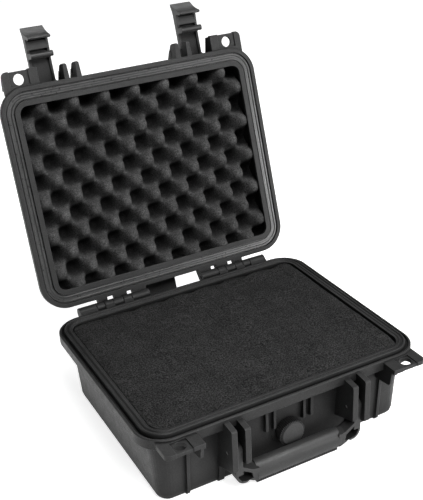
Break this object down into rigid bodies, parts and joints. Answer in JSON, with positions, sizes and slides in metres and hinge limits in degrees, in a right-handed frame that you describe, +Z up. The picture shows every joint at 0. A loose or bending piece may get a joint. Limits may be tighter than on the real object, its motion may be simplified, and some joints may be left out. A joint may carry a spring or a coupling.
{
  "type": "hard equipment case",
  "caption": "Small hinged hard case standing open, with foam in base and lid, a rim seal, lever latches, a folding handle and a pressure valve.",
  "frame": {"origin": "middle of the flat underside of the base", "axes": "+Z up; -Y is the front with the handle and valve; +X along the hinge, to the right of someone facing the front"},
  "size_m": [0.2654, 0.3463, 0.3205],
  "materials": {
    "shell": "matte",
    "moulding": "satin",
    "foam": "matte",
    "seal": "matte",
    "pin": "satin"
  },
  "bodies": {
    "base": {"base_shell": "shell", "floor_pad": "foam", "pluck_foam": "foam", "hinge_pin_left": "pin", "hinge_pin_right": "pin", "valve_insert": "moulding", "valve_nut": "moulding", "valve_flange_gasket": "seal", "handle_pin_left": "pin", "handle_pin_right": "pin"},
    "lid": {"lid_shell": "shell", "lid_gasket": "seal", "lid_foam": "foam", "latch_pin_left": "pin", "latch_pin_right": "pin"},
    "latch_left": {"latch_left": "moulding"},
    "latch_right": {"latch_right": "moulding"},
    "handle": {"handle": "moulding", "handle_grip_insert": "moulding"},
    "valve_ring": {"valve_seal_ring": "seal"},
    "knob": {"valve_knob": "moulding"}
  },
  "joints": [
    {"name": "lid_hinge", "type": "hinge", "parent": "base", "child": "lid", "pos_m": [0, 0.1125, 0.0718], "axis": [1, 0, 0], "range_deg": [0, 107]},
    {"name": "latch_left_swing", "type": "hinge", "parent": "lid", "child": "latch_left", "pos_m": [-0.0783, 0.19365, 0.26815], "axis": [1, 0, 0], "range_deg": [0, 90]},
    {"name": "latch_right_swing", "type": "hinge", "parent": "lid", "child": "latch_right", "pos_m": [0.0783, 0.19365, 0.26815], "axis": [1, 0, 0], "range_deg": [0, 90]},
    {"name": "handle_swing", "type": "hinge", "parent": "base", "child": "handle", "pos_m": [0, -0.1095, 0.0434], "axis": [-1, 0, 0], "range_deg": [0, 100]},
    {"name": "valve_travel", "type": "slide", "parent": "base", "child": "valve_ring", "axis": [0, -1, 0], "range_m": [0, 0.0015]},
    {"name": "valve_turn", "type": "hinge", "parent": "valve_ring", "child": "knob", "pos_m": [0, -0.1, 0.031], "axis": [0, -1, 0], "range_deg": [0, 360]}
  ],
  "couplings": [
    {"joint": "valve_travel", "follows": "valve_turn", "m_per_rad": 0.00023873}
  ]
}
